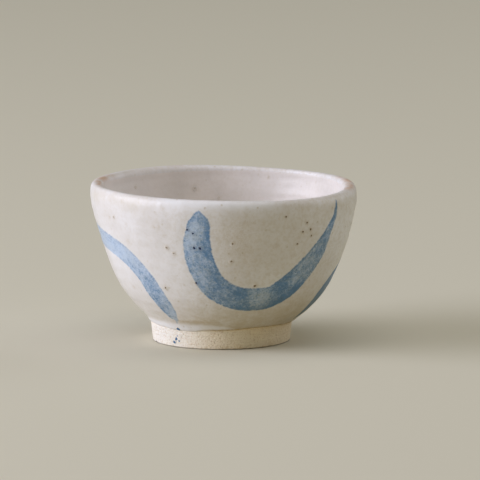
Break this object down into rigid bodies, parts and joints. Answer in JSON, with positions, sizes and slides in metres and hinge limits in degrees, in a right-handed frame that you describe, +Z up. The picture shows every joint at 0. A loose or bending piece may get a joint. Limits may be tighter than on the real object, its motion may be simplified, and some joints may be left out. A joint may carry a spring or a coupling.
{
  "type": "guinomi sake cup",
  "caption": "Small footed stoneware sake cup: full-bellied thrown bowl on a turned foot ring, milky glaze, brushed blue sweeps outside.",
  "frame": {"origin": "centre of the foot ring's resting face", "axes": "+Z up along the cup's axis; -Y is the front, the side with the whole brushed curve; +X is to the right seen from the front"},
  "size_m": [0.073, 0.073, 0.043],
  "materials": {
    "bare_clay": "unglazed, fired, fine turning marks",
    "foot_clay": "unglazed, sandy, with turning marks",
    "outer_glaze": "satin milky glaze",
    "rim_glaze": "satin glaze, worn thin and pinkish",
    "inner_glaze": "satin milky glaze",
    "front_blue": "satin glaze tinted blue by brushed pigment",
    "left_blue": "satin glaze tinted blue by brushed pigment",
    "right_blue": "satin glaze tinted blue by brushed pigment",
    "splash_blue": "satin, dark blue",
    "iron": "satin, iron brown"
  },
  "bodies": {
    "root": {"clay_bowl": "bare_clay", "foot_ring": "foot_clay", "outer_glaze": "outer_glaze", "rim_glaze": "rim_glaze", "inner_glaze": "inner_glaze", "front_sweep": "front_blue", "left_sweep": "left_blue", "right_sweep": "right_blue", "foot_splashes": "splash_blue", "iron_specks": "iron"}
  },
  "joints": []
}
